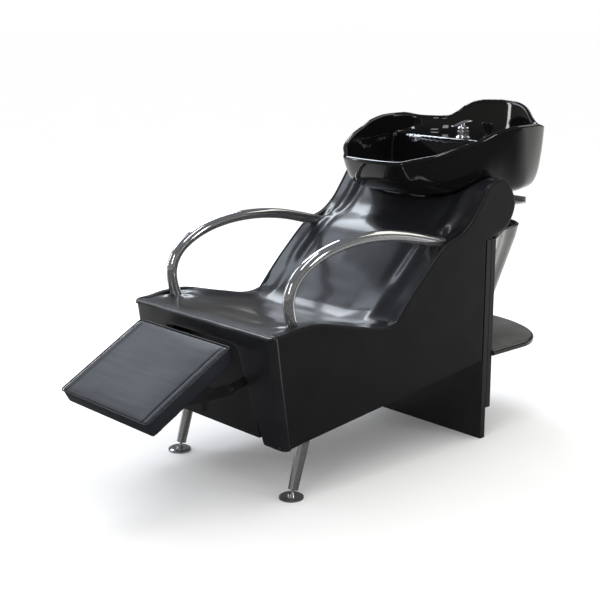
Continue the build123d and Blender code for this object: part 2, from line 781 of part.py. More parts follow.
def main():
    save_pair("side_panel", side_panel())
    save_pair("front_post", front_post())
    save("front_fascia", front_fascia())
    save("recess_board", recess_board())
    save("seat_board", seat_board())
    save("back_board", back_board())
    save("cross_rails", cross_rails())
    save("bottom_panel", bottom_panel())
    save("rear_panel", rear_panel())
    save("seat_cushion", seat_cushion())
    save("back_cushion", back_cushion())
    save_pair("side_bolster", side_bolster())
    save_pair("arm_rest", arm_rest())
    save("arm_sockets", arm_sockets())
    save_pair("front_leg", front_leg())
    save("leg_plates", group([leg_plate(-LEG_X), leg_plate(LEG_X)]))
    save_pair("foot", foot())
    save_pair("arm_plate", arm_plate())
    save("pivot_brackets", pivot_brackets())
    save("arm_pivot_pins", arm_pivot_pins())
    save("pad_bolts", pad_bolts())
    save_pair("pad_bracket", pad_bracket())
    save("pad_board", pad_board())
    save("pad_screws", pad_screws())
    save("legrest_cushion", legrest_cushion())
    save("pedestal_front_board", pedestal_board(1, 0))
    save("pedestal_rear_board", pedestal_rear_board())
    save("chair_bolts", chair_bolts())
    save("upper_cowl", upper_cowl())
    save("lower_cowl", lower_cowl())
    save("cowl_screws", cowl_screws())
    save("shelf", shelf())
    save("base_plate", base_plate())
    save("mast", mast())
    save("tilt_bracket", tilt_bracket())
    save("basin_cradle", cradle())
    save("tilt_pins", tilt_pins())
    save("basin_pads", basin_pads())
    save("basin", basin())
    save("drain_flange", drain_flange())
    save("drain_nut", drain_nut())
    save("hair_strainer", hair_strainer())
    save("drain_hose", drain_hose())
    save("tap_body", tap_body())
    save("tap_cartridge", tap_cartridge())
    save("tap_cap", tap_cap())
    save("tap_lever", tap_lever())
    save("spray_holder", spray_holder())
    save("spray_head", spray_head())
    save("spray_hose", spray_hose())
    save("supply_tails", supply_tails())
    save("supply_hoses", group([supply_hose(-1), supply_hose(1)]))


main()
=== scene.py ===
import json
import math

import bmesh
import bpy
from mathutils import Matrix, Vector, noise
from mathutils.bvhtree import BVHTree


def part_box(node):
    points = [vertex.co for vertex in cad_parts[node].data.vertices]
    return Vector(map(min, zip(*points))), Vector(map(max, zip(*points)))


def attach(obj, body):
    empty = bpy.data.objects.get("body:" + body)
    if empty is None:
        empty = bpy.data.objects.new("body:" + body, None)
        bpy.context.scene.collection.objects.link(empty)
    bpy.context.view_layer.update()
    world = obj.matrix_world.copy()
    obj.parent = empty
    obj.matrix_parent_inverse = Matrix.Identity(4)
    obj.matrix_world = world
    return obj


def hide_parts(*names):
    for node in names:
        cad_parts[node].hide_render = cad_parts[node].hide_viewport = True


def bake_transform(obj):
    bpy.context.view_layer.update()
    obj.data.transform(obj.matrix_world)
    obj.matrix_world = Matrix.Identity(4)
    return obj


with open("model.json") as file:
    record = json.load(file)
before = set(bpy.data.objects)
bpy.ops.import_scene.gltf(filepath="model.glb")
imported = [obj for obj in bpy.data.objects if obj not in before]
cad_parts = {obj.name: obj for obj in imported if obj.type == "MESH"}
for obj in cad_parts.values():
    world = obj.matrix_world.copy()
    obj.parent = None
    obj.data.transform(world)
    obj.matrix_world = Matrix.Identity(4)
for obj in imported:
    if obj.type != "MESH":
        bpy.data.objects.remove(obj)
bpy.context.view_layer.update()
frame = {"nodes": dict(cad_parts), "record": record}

MM = 0.001
NODES = frame["nodes"]
CHAIR = "chair"


# ------------------------------------------------------------------ places taken from the frame
def low(node):
    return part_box(node)[0]


def high(node):
    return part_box(node)[1]


HALF = high("side_panel_left").x                 # half width of the chair body
PANEL_INNER = low("side_panel_left").x
REAR = low("pedestal_front_board").y - 1 * MM    # rear edge of the chair body
ARM_X = (low("arm_rest_left").x + high("arm_rest_left").x) / 2


def centre_of(node):
    """Centre of a node in plan."""
    lo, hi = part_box(node)
    return ((lo.x + hi.x) / 2, (lo.y + hi.y) / 2)


def at(y, z):
    """A side-view point given in millimetres from the body's rear edge and the floor."""
    return (REAR + y * MM, z * MM)


# ------------------------------------------------------------------ curves and meshes
SPLINE_STEPS = 16


def catmull(p0, p1, p2, p3, t):
    """Point of the Catmull-Rom curve between p1 and p2, at share t."""
    return 0.5 * (p1 * 2 + (p2 - p0) * t + (p0 * 2 - p1 * 5 + p2 * 4 - p3) * t * t
                  + (p1 * 3 - p0 - p2 * 3 + p3) * t * t * t)


def spline(points, count, closed=False):
    """Catmull-Rom curve through points, with count samples evenly spaced along it."""
    pts = [Vector(p) for p in points]
    n = len(pts)
    spans = n if closed else n - 1
    dense = []
    for i in range(spans):
        p1, p2 = pts[i % n], pts[(i + 1) % n]
        p0 = pts[(i - 1) % n] if closed or i > 0 else p1 * 2 - p2
        p3 = pts[(i + 2) % n] if closed or i < n - 2 else p2 * 2 - p1
        dense += [catmull(p0, p1, p2, p3, k / SPLINE_STEPS) for k in range(SPLINE_STEPS)]
    dense.append(pts[0].copy() if closed else pts[-1].copy())
    return resample(dense, count, closed)


def resample(points, count, closed=False):
    """The same polyline with count points evenly spaced along it."""
    pts = [Vector(p) for p in points]
    lengths = [0.0]
    for a, b in zip(pts, pts[1:]):
        lengths.append(lengths[-1] + (b - a).length)
    total = lengths[-1]
    steps = count if closed else count - 1
    out = []
    j = 0
    for i in range(count):
        want = total * i / steps
        while j < len(pts) - 2 and lengths[j + 1] < want:
            j += 1
        span = max(lengths[j + 1] - lengths[j], 1e-12)
        out.append(pts[j].lerp(pts[j + 1], (want - lengths[j]) / span))
    return out


def smoothstep(low_edge, high_edge, value):
    """0 below the low edge, 1 above the high edge, and a smooth rise between them."""
    t = min(max((value - low_edge) / (high_edge - low_edge), 0.0), 1.0)
    return t * t * (3 - 2 * t)


def near(value, centre, width):
    """1 at the centre, falling off as a bell of the given width."""
    return math.exp(-((value - centre) / width) ** 2)


def averaged(values, times):
    """A closed list of numbers, smoothed by averaging each with its neighbours."""
    count = len(values)
    for _ in range(times):
        values = [(values[i - 1] + values[i] + values[(i + 1) % count]) / 3 for i in range(count)]
    return values


def add_piece(name, verts, faces, body, slot):
    """A smooth-shaded mesh piece with its slot's material; body is None where it is given later."""
    mesh = bpy.data.meshes.new(name)
    mesh.from_pydata([tuple(v) for v in verts], [], faces)
    bm = bmesh.new()
    bm.from_mesh(mesh)
    bmesh.ops.recalc_face_normals(bm, faces=bm.faces)
    bm.to_mesh(mesh)
    bm.free()
    for poly in mesh.polygons:
        poly.use_smooth = True
    obj = bpy.data.objects.new(name, mesh)
    bpy.context.scene.collection.objects.link(obj)
    mesh.materials.append(MATERIALS[slot])
    if body:
        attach(obj, body)
    return obj


def loops_mesh(loops, caps=True):
    """Vertices and faces of a skin over closed loops with equal counts."""
    n = len(loops[0])
    verts = [v for loop in loops for v in loop]
    faces = []
    for i in range(len(loops) - 1):
        for j in range(n):
            k = (j + 1) % n
            faces.append((i * n + j, i * n + k, (i + 1) * n + k, (i + 1) * n + j))
    if caps:
        faces.append(tuple(reversed(range(n))))
        faces.append(tuple((len(loops) - 1) * n + j for j in range(n)))
    return verts, faces


def tube(name, path, radius, body, slot, sides, caps=True):
    """Round tube along a 3-D path; radius is a number or a function of the share along it."""
    pts = [Vector(p) for p in path]
    side = None
    loops = []
    for i, p in enumerate(pts):
        tangent = (pts[min(i + 1, len(pts) - 1)] - pts[max(i - 1, 0)]).normalized()
        if side is None:
            side = tangent.orthogonal().normalized()
        side = (side - tangent * side.dot(tangent)).normalized()
        other = tangent.cross(side)
        r = radius(i / (len(pts) - 1)) if callable(radius) else radius
        loops.append([p + (side * math.cos(a) + other * math.sin(a)) * r
                      for a in (2 * math.pi * k / sides for k in range(sides))])
    verts, faces = loops_mesh(loops, caps)
    return add_piece(name, verts, faces, body, slot)


LEAST_MITRE = 0.6                                # cosine that limits how far a sharp corner moves


def inset_loop(loop, distance):
    """Move a closed counter-clockwise 2-D loop inward."""
    n = len(loop)
    out = []
    for i in range(n):
        a, b, c = loop[i - 1], loop[i], loop[(i + 1) % n]
        d1 = (b - a).normalized()
        d2 = (c - b).normalized()
        n1 = Vector((-d1.y, d1.x))
        n2 = Vector((-d2.y, d2.x))
        normal = n1 + n2
        if normal.length < 1e-6:
            normal = n1
        normal.normalize()
        out.append(b + normal * distance / max(normal.dot(n1), LEAST_MITRE))
    return out


def counter_clockwise(loop):
    """The closed 2-D loop, reversed if it runs clockwise."""
    area = sum(a.x * b.y - b.x * a.y for a, b in zip(loop, loop[1:] + loop[:1]))
    return loop if area > 0 else loop[::-1]


def padded_sheet(outline, place, thickness, radius_at, steps=6):
    """A sheet with a rounded front edge. place(p, depth) maps a 2-D point, depth 0 at the front face."""
    loop = counter_clockwise([Vector(p) for p in outline])
    radii = averaged([radius_at(p) for p in loop], 2)
    unit = inset_loop(loop, 1 * MM)
    rings = [[place(p, thickness) for p in loop], [place(p, r) for p, r in zip(loop, radii)]]
    for k in range(1, steps + 1):
        a = math.pi / 2 * k / steps
        rings.append([place(p + (u - p) / MM * r * (1 - math.cos(a)), r * (1 - math.sin(a)))
                      for p, u, r in zip(loop, unit, radii)])
    return loops_mesh(rings)


def rounded_path(points, radius, steps=4):
    """A polyline whose inner corners are replaced by short curves."""
    share = 0.45                                 # most of a side that one corner may use
    pts = [Vector(p) for p in points]
    out = [pts[0]]
    for a, b, c in zip(pts, pts[1:], pts[2:]):
        r = min(radius, (b - a).length * share, (c - b).length * share)
        start, end = b + (a - b).normalized() * r, b + (c - b).normalized() * r
        for k in range(steps + 1):
            t = k / steps
            out.append(start * (1 - t) ** 2 + b * 2 * t * (1 - t) + end * t * t)
    return out + [pts[-1]]


def lathe(name, profile, centre, body, slot, shift=None):
    """Turned piece: (radius, height) rows in millimetres about an upright axis at centre."""
    sides, least = 40, 0.05
    loops = []
    for radius, z in profile:
        r = max(radius, least) * MM
        loop = []
        for k in range(sides):
            a = 2 * math.pi * k / sides
            v = Vector((centre[0] + r * math.cos(a), centre[1] + r * math.sin(a), z * MM))
            loop.append(shift(v) if shift else v)
        loops.append(loop)
    verts, faces = loops_mesh(loops)
    return add_piece(name, verts, faces, body, slot)


# ------------------------------------------------------------------ materials
def node_material(name):
    """An empty node material with its shader: (material, nodes, links, shader)."""
    material = bpy.data.materials.new(name)
    material.use_nodes = True
    nodes = material.node_tree.nodes
    nodes.clear()
    output = nodes.new("ShaderNodeOutputMaterial")
    shader = nodes.new("ShaderNodeBsdfPrincipled")
    material.node_tree.links.new(shader.outputs[0], output.inputs[0])
    return material, nodes, material.node_tree.links, shader


def coordinates(nodes, links, stretch=(1, 1, 1)):
    """Object coordinates in metres, stretched along the axes."""
    where = nodes.new("ShaderNodeTexCoord")
    mapping = nodes.new("ShaderNodeMapping")
    mapping.inputs["Scale"].default_value = stretch
    links.new(where.outputs["Object"], mapping.inputs["Vector"])
    return mapping.outputs["Vector"]


def noise_node(nodes, links, vector, scale, detail=3.0, roughness=0.5):
    tex = nodes.new("ShaderNodeTexNoise")
    tex.inputs["Scale"].default_value = scale
    tex.inputs["Detail"].default_value = detail
    tex.inputs["Roughness"].default_value = roughness
    links.new(vector, tex.inputs["Vector"])
    return tex.outputs["Fac"]


def ramp(nodes, links, value, stops):
    """Colour of a value, from (position, colour) stops."""
    node = nodes.new("ShaderNodeValToRGB")
    while len(node.color_ramp.elements) < len(stops):
        node.color_ramp.elements.new(0.5)
    for element, (position, colour) in zip(node.color_ramp.elements, stops):
        element.position = position
        element.color = (*colour, 1)
    links.new(value, node.inputs["Fac"])
    return node.outputs["Color"]


def number_range(nodes, links, value, low_value, high_value):
    """A 0 to 1 value mapped to a range of numbers."""
    node = nodes.new("ShaderNodeMapRange")
    node.inputs["To Min"].default_value = low_value
    node.inputs["To Max"].default_value = high_value
    links.new(value, node.inputs["Value"])
    return node.outputs["Result"]


def bump(nodes, links, shader, height, distance, strength, previous=None):
    """A bump on the shader's normal, on top of a previous one."""
    node = nodes.new("ShaderNodeBump")
    node.inputs["Distance"].default_value = distance
    node.inputs["Strength"].default_value = strength
    links.new(height, node.inputs["Height"])
    if previous is not None:
        links.new(previous, node.inputs["Normal"])
    links.new(node.outputs["Normal"], shader.inputs["Normal"])
    return node.outputs["Normal"]


PEBBLES = 900.0                                  # grain cells of the vinyl in a metre


def vinyl(name, dark, light, rough_low, rough_high, soft, grain=1.0, coat=0.0, shine=0.5, cross=0.0):
    """Coated vinyl: pebble grain, slow colour drift, soft stretch marks, rubbed gloss and cross folds."""
    material, nodes, links, shader = node_material(name)
    where = coordinates(nodes, links)
    drift = noise_node(nodes, links, where, 9.0, 4.0)
    links.new(ramp(nodes, links, drift, [(0.3, dark), (0.7, light)]), shader.inputs["Base Color"])
    rub = noise_node(nodes, links, where, 22.0, 5.0, 0.6)
    links.new(number_range(nodes, links, rub, rough_low, rough_high), shader.inputs["Roughness"])
    cells = nodes.new("ShaderNodeTexVoronoi")
    cells.feature = "SMOOTH_F1"
    cells.inputs["Scale"].default_value = PEBBLES
    links.new(where, cells.inputs["Vector"])
    fine = bump(nodes, links, shader, cells.outputs["Distance"], 0.0004, 0.16 * grain)
    creases = noise_node(nodes, links, coordinates(nodes, links, (1, 2.2, 1)), 60.0, 5.0, 0.65)
    fine = bump(nodes, links, shader, creases, 0.0004, 0.10 * grain, fine)
    if cross:
        folds = noise_node(nodes, links, coordinates(nodes, links, (0.22, 2.6, 2.6)), 34.0, 4.0, 0.6)
        fine = bump(nodes, links, shader, folds, 0.0008, cross, fine)
    swell = noise_node(nodes, links, where, 9.0, 1.5)
    bump(nodes, links, shader, swell, 0.004, 0.12 * soft, fine)
    shader.inputs["Specular IOR Level"].default_value = shine
    shader.inputs["Coat Weight"].default_value = coat
    shader.inputs["Coat Roughness"].default_value = 0.13
    return material


def chrome(name):
    """Plated tube: mirror metal with faint smears and a slow ripple."""
    material, nodes, links, shader = node_material(name)
    where = coordinates(nodes, links)
    shader.inputs["Metallic"].default_value = 0.94
    tone = noise_node(nodes, links, where, 30.0, 3.0)
    links.new(ramp(nodes, links, tone, [(0.3, (0.83, 0.84, 0.86)), (0.7, (0.9, 0.9, 0.91))]),
              shader.inputs["Base Color"])
    smear = noise_node(nodes, links, where, 45.0, 6.0, 0.7)
    links.new(number_range(nodes, links, smear, 0.03, 0.11), shader.inputs["Roughness"])
    ripple = noise_node(nodes, links, where, 25.0, 1.0)
    bump(nodes, links, shader, ripple, 0.001, 0.05)
    return material


def gloss(name, colour, second, roughness, wave, coat):
    """Glaze or gel-coat: mirror gloss with a slow ripple and a few fine specks."""
    material, nodes, links, shader = node_material(name)
    where = coordinates(nodes, links)
    drift = noise_node(nodes, links, where, 6.0, 3.0)
    links.new(ramp(nodes, links, drift, [(0.35, colour), (0.75, second)]), shader.inputs["Base Color"])
    smear = noise_node(nodes, links, where, 35.0, 6.0, 0.7)
    links.new(number_range(nodes, links, smear, roughness * 0.6, roughness * 1.6), shader.inputs["Roughness"])
    ripple = noise_node(nodes, links, where, 11.0, 1.5)
    first = bump(nodes, links, shader, ripple, 0.004, wave)
    specks = noise_node(nodes, links, where, 260.0, 2.0)
    bump(nodes, links, shader, specks, 0.0002, 0.05, first)
    shader.inputs["Specular IOR Level"].default_value = 0.6
    shader.inputs["Coat Weight"].default_value = coat
    shader.inputs["Coat Roughness"].default_value = 0.03
    return material


def painted(name, dark, light, rough_low, rough_high, texture, scale, metallic=0.0):
    """Paint, plating, laminate, rubber or plastic: colour drift, uneven gloss and a fine surface texture."""
    material, nodes, links, shader = node_material(name)
    where = coordinates(nodes, links)
    drift = noise_node(nodes, links, where, 18.0, 5.0)
    links.new(ramp(nodes, links, drift, [(0.3, dark), (0.7, light)]), shader.inputs["Base Color"])
    patch = noise_node(nodes, links, where, 40.0, 5.0, 0.6)
    links.new(number_range(nodes, links, patch, rough_low, rough_high), shader.inputs["Roughness"])
    shader.inputs["Metallic"].default_value = metallic
    peel = noise_node(nodes, links, where, scale, 3.0)
    bump(nodes, links, shader, peel, 0.0008, texture)
    return material


def wood(name, dark, light):
    """Raw plywood with its grain along X."""
    material, nodes, links, shader = node_material(name)
    where = coordinates(nodes, links, (1, 9, 9))
    grain = noise_node(nodes, links, where, 12.0, 8.0, 0.65)
    links.new(ramp(nodes, links, grain, [(0.3, dark), (0.7, light)]), shader.inputs["Base Color"])
    links.new(number_range(nodes, links, grain, 0.45, 0.75), shader.inputs["Roughness"])
    bump(nodes, links, shader, grain, 0.0008, 0.3)
    return material


MATERIALS = {
    "seat_vinyl": vinyl("seat_vinyl", (0.006, 0.0064, 0.0085), (0.010, 0.0105, 0.0135), 0.30, 0.38, 0.5,
                        coat=0.45),
    "panel_vinyl": vinyl("panel_vinyl", (0.0075, 0.0075, 0.008), (0.0105, 0.0105, 0.011), 0.44, 0.56, 0.3,
                         shine=0.25),
    "legrest_vinyl": vinyl("legrest_vinyl", (0.010, 0.0115, 0.016), (0.016, 0.018, 0.024), 0.32, 0.42, 0.6,
                           grain=1.2, shine=0.6, cross=0.45),
    "chrome": chrome("chrome"),
    "black_glaze": gloss("black_glaze", (0.003, 0.003, 0.0033), (0.005, 0.005, 0.0055), 0.05, 0.05, 0.45),
    "gloss_shell": gloss("gloss_shell", (0.006, 0.006, 0.0065), (0.011, 0.011, 0.011), 0.14, 0.06, 0.4),
    "black_board": painted("black_board", (0.008, 0.008, 0.009), (0.012, 0.012, 0.013), 0.30, 0.42,
                           0.05, 60.0),
    "black_steel": painted("black_steel", (0.008, 0.008, 0.008), (0.014, 0.014, 0.014), 0.32, 0.5,
                           0.2, 240.0),
    "grey_steel": painted("grey_steel", (0.34, 0.34, 0.335), (0.46, 0.46, 0.45), 0.35, 0.5, 0.1, 240.0),
    "zinc_steel": painted("zinc_steel", (0.45, 0.45, 0.44), (0.62, 0.62, 0.6), 0.22, 0.38, 0.1, 90.0, 1.0),
    "strainer_steel": painted("strainer_steel", (0.5, 0.5, 0.5), (0.68, 0.68, 0.68), 0.15, 0.3,
                              0.08, 90.0, 1.0),
    "black_rubber": painted("black_rubber", (0.012, 0.012, 0.012), (0.022, 0.022, 0.022), 0.5, 0.7,
                            0.3, 200.0),
    "black_plastic": painted("black_plastic", (0.008, 0.008, 0.009), (0.014, 0.014, 0.015), 0.14, 0.26,
                             0.06, 60.0),
    "white_plastic": painted("white_plastic", (0.7, 0.7, 0.68), (0.78, 0.78, 0.76), 0.35, 0.5, 0.05, 60.0),
    "plywood": wood("plywood", (0.32, 0.21, 0.11), (0.56, 0.41, 0.25)),
    "shelf_laminate": painted("shelf_laminate", (0.10, 0.10, 0.097), (0.15, 0.15, 0.145), 0.26, 0.38,
                              0.04, 30.0),
    "hardboard": painted("hardboard", (0.02, 0.018, 0.016), (0.035, 0.03, 0.026), 0.6, 0.8, 0.3, 300.0),
}


def dress_frame():
    """Give every carried-over node its procedural material."""
    slots = {entry["node"]: entry["material_slot"] for entry in frame["record"]["subparts"]}
    for name, obj in NODES.items():
        material = MATERIALS[slots[name]]
        if not obj.material_slots:
            obj.data.materials.append(material)
        for slot in obj.material_slots:
            slot.material = material


# ------------------------------------------------------------------ side outlines, rear edge at 0
SEAT = [(-799, 437), (-796, 445), (-788, 448), (-752, 450), (-703, 456), (-631, 454), (-533, 431),
        (-439, 409), (-392, 405), (-357, 411)]
BACK = [(-357, 411), (-310, 463), (-260, 513), (-176, 586), (-105, 614), (-60, 648), (-22, 695),
        (8, 733), (53, 750)]
WING = [(53, 750), (93, 728), (119, 683), (113, 645), (86, 612), (48, 598), (0, 583)]
REAR_FOOT = (0, 234)
FRONT_FOOT = (-758, 149)
FRONT_KNEE = (-787, 344)
FRONT_TOP = (-799, 437)

WRAP = 24 * MM                                   # how far the front cover wraps round the sides
WELT_R = 2.0 * MM
COVER_FOOT = 151.6 * MM                          # height of a side cover's lower front corner
SEAM_ROUND = 0.4 * MM                            # edge radius where a side cover meets the front cover
EDGE_ROUND = 7 * MM                              # edge radius elsewhere on a side cover


def side_outline():
    """Closed side view of the chair body, as 2-D points."""
    top = spline([at(*p) for p in SEAT], 70)
    back = spline([at(*p) for p in BACK], 70)
    wing = spline([at(*p) for p in WING], 50)
    rear = resample([at(*WING[-1]), at(*REAR_FOOT)], 20)
    under = resample([at(*REAR_FOOT), at(*FRONT_FOOT)], 40)
    front = resample([at(*FRONT_FOOT), at(*FRONT_KNEE), at(*FRONT_TOP)], 20)
    return top[:-1] + back[:-1] + wing[:-1] + rear[:-1] + under[:-1] + front[:-1]


def side_covers():
    """Flat padded vinyl over each side panel, with a fine welt along its upper edge."""
    tuck, beside = 0.5 * MM, 2 * MM              # overlap under the front cover, and reach of its edge radius
    loop = [p for p in side_outline() if p.x > wrap_line(p.y)]
    top = loop[0].y
    seam_points = 24
    for k in range(seam_points):
        z = COVER_FOOT + (top - COVER_FOOT) * k / seam_points
        loop.append(Vector((wrap_line(z) - tuck, z)))

    def radius_at(p):
        return SEAM_ROUND if p.x < wrap_line(p.y) + beside else EDGE_ROUND
    welt = spline([at(*p) for p in SEAT[2:]], 90)[:-1] + spline([at(*p) for p in BACK + WING[1:]], 150)
    for side, word in ((1, "left"), (-1, "right")):
        def place(p, depth, side=side):
            return Vector((side * (HALF - depth), p.x, p.y))
        verts, faces = padded_sheet(loop, place, HALF - PANEL_INNER, radius_at)
        cover = add_piece("side_cover_" + word, verts, faces, CHAIR, "panel_vinyl")
        for poly in cover.data.polygons:
            poly.use_smooth = len(poly.vertices) == 4
        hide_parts("side_panel_" + word)
        path = [Vector((side * (HALF - WELT_R - 2.5 * MM), p.x, p.y - 0.6 * MM)) for p in welt]
        tube("side_welt_" + word, path, WELT_R, CHAIR, "seat_vinyl", 10)


def front_line(z):
    """Y of the front face at height z: straight from foot to knee, and from knee to top."""
    lower, upper = (FRONT_FOOT, FRONT_KNEE) if z < FRONT_KNEE[1] * MM else (FRONT_KNEE, FRONT_TOP)
    slope = (upper[0] - lower[0]) / (upper[1] - lower[1])
    return REAR + (lower[0] + (z / MM - lower[1]) * slope) * MM


def wrap_line(z):
    """Y of the seam between a side cover and the front cover at height z."""
    return front_line(z) + WRAP


def portal_cover():
    """One padded skin over the seat's lip, the fascia and both tapered posts, wrapped round the corners."""
    top, foot = 447.5, 149.5
    opening = [(203, foot), (187, 213), (172, 277), (160, 340), (150, 385), (138, 401), (118, 405)]
    inner = opening + [(-x, z) for x, z in reversed(opening)]
    corner = [(-HALF / MM, foot), (-HALF / MM, top), (HALF / MM, top), (HALF / MM, foot)]
    path = [Vector((x * MM, z * MM)) for x, z in corner + inner]
    loop = counter_clockwise(resample(path + path[:1], 520, closed=True))
    corner_round, lip_round, opening_round = 19 * MM, 9 * MM, 5 * MM
    radii = []
    for p in loop:
        if abs(p.x) > HALF - 1 * MM:
            radii.append(corner_round)
        elif p.y > (top - 1) * MM:
            radii.append(lip_round)
        else:
            radii.append(opening_round)
    radii = averaged(radii, 4)
    unit = inset_loop(loop, 1.0)
    rings = [[Vector((p.x, wrap_line(p.y), p.y)) for p in loop]]
    steps = 8
    swell_height, swell_rate = 1.5 * MM, 14
    for k in range(steps + 1):
        a = math.pi / 2 * k / steps
        ring = []
        for p, u, r in zip(loop, unit, radii):
            q = p + (u - p) * r * (1 - math.cos(a))
            ripple = noise.noise(Vector((q.x * swell_rate, q.y * swell_rate, 5.0)))
            swell = swell_height * ripple * math.sin(a)
            ring.append(Vector((q.x, front_line(q.y) + r * (1 - math.sin(a)) + swell, q.y)))
        rings.append(ring)
    verts, faces = loops_mesh(rings)
    cover = add_piece("front_cover", verts, faces, CHAIR, "seat_vinyl")
    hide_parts("front_post_left", "front_post_right", "front_fascia")


# ------------------------------------------------------------------ seat and back
ARM_FRONT, ARM_REAR = at(-689, 0)[0], at(-137, 0)[0]    # where the arm tubes enter the cover


def arm_dent(x, y, centre_y, reach, depth):
    """Dimple with radial folds where an arm tube enters the cover."""
    folds, turn, fold_height = 5, 0.6, 2.2 * MM
    fold_ring, fold_width = 30 * MM, 22 * MM
    dx, dy = abs(x) - ARM_X, y - centre_y
    r = math.hypot(dx, dy)
    fold = math.cos(math.atan2(dy, dx) * folds + turn) * near(r, fold_ring, fold_width)
    return fold_height * fold - depth * near(r, 0, reach)


# the cover's top line at its sides and along its middle, from the lip to the wings, and its underside
SIDE_LINE = [(-785, 447.6)] + SEAT[3:-1] + [(-357, 412)] + BACK[1:] + WING[1:-1]
MID_LINE = [(-785, 447.6), (-752, 449), (-703, 450), (-631, 444), (-533, 423), (-450, 407), (-404, 409),
            (-362, 429), (-315, 469), (-262, 516), (-178, 590), (-106, 622), (-62, 656), (-24, 700),
            (-14, 709), (-7, 707), (-4, 696), (-3.5, 675), (-3, 650), (-3, 630), (-3, 612)]
UNDER_LINE = [(-4, 592), (-42, 582), (-61, 572), (-180, 478), (-301, 383), (-338, 366), (-362, 364),
              (-648, 364), (-668, 422), (-775, 424), (-783, 432)]


def matched(rows, per):
    """Catmull-Rom samples with the same number between every pair of rows, so that two lines correspond."""
    pts = [Vector(at(*p)) for p in rows]
    out = []
    for i in range(len(pts) - 1):
        p1, p2 = pts[i], pts[i + 1]
        p0 = pts[i - 1] if i > 0 else p1 * 2 - p2
        p3 = pts[i + 2] if i + 2 < len(pts) else p2 * 2 - p1
        out += [catmull(p0, p1, p2, p3, k / per) for k in range(per)]
    return out + [pts[-1]]


def cover_push(x, y, share):
    """How far the cover stands off the straight lines, at a place across and a share along the path."""
    lx = abs(x)
    seat = smoothstep(0.04, 0.13, share) * (1 - smoothstep(0.34, 0.42, share))
    back = smoothstep(0.40, 0.46, share) * (1 - smoothstep(0.68, 0.76, share))
    hollow = -11 * MM * (1 - smoothstep(0.10, 0.225, lx))
    thigh_roll = 5 * MM * near(lx, 0.238, 0.022) * smoothstep(0.13, 0.2, share)
    crown = 10 * MM * (1 - (x / HALF) ** 2)
    side_roll = 4 * MM * near(lx, 0.213, 0.020)
    groove = 5 * MM * near(lx, 0.180, 0.020)
    drape = 1.2 * MM * noise.noise(Vector((x * 7, y * 9, 0.3)))
    wrinkles = 0.3 * MM * noise.noise(Vector((x * 26, y * 26, 7.3)))
    front_dent = arm_dent(x, y, ARM_FRONT, 50 * MM, 6 * MM) * (1 - smoothstep(0.2, 0.3, share))
    rear_dent = arm_dent(x, y, ARM_REAR, 36 * MM, 7 * MM) * smoothstep(0.4, 0.5, share)
    push = seat * (hollow + thigh_roll) + back * (crown + side_roll - groove)
    return push + (seat + back) * (drape + wrinkles) + front_dent + rear_dent


def seat_and_back():
    """One cover from the seat's lip, through the dip and up the back to the padded wings."""
    per, columns, crowding = 10, 128, 1.3        # crowding packs the columns towards the sides
    side, mid = matched(SIDE_LINE, per), matched(MID_LINE, per)
    under = resample([Vector(at(*p)) for p in UNDER_LINE], 90)
    shell = BASIN.data
    tree = BVHTree.FromPolygons([v.co for v in shell.vertices], [p.vertices for p in shell.polygons])
    edge_x = HALF - 2.6 * MM
    radius, basin_gap = 10 * MM, 4 * MM
    below_basin, neck_height = 0.5, 0.6          # where the rays start, and where the cover nears the basin
    loops = []
    for i in range(columns + 1):
        t = -1 + 2 * i / columns
        x = math.copysign(1 - (1 - abs(t)) ** crowding, t) * edge_x
        edge = max(0.0, abs(x) - (edge_x - radius))
        drop = radius - math.sqrt(max(radius ** 2 - edge ** 2, 0.0))
        w = smoothstep(0.186, 0.244, abs(x))
        line = [m.lerp(s, w) for m, s in zip(mid, side)]
        ring = []
        for k, p in enumerate(line):
            d = (line[min(k + 1, len(line) - 1)] - line[max(k - 1, 0)]).normalized()
            share = k / (len(line) - 1)
            q = p + Vector((-d.y, d.x)) * (cover_push(x, p.x, share) - drop)
            v = Vector((x, q.x, q.y))
            if v.z > neck_height:
                hit = tree.ray_cast(Vector((v.x, v.y, below_basin)), Vector((0, 0, 1)))[0]
                if hit is not None:
                    v.z = min(v.z, hit.z - basin_gap)
            ring.append(v)
        ring += [Vector((x, p.x, p.y)) for p in under]
        loops.append(ring)
    verts, faces = loops_mesh(loops)
    cover = add_piece("seat_and_back_cover", verts, faces, CHAIR, "seat_vinyl")
    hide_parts("seat_cushion", "back_cushion", "side_bolster_left", "side_bolster_right")


# ------------------------------------------------------------------ legrest
PAD_SLOPE = math.radians(29.1)
PAD_LENGTH, PAD_THICK = 292 * MM, 45 * MM
PAD_FRONT = at(-845, 421)                        # upper edge of the pad's seat end
PAD_ALONG = Vector((0, -math.cos(PAD_SLOPE), -math.sin(PAD_SLOPE)))
PAD_UP = Vector((0, -math.sin(PAD_SLOPE), math.cos(PAD_SLOPE)))


def baked(obj):
    """Apply the object's modifiers to its mesh."""
    graph = bpy.context.evaluated_depsgraph_get()
    mesh = bpy.data.meshes.new_from_object(obj.evaluated_get(graph))
    obj.modifiers.clear()
    obj.data = mesh


CLOTH_FRAMES = 20


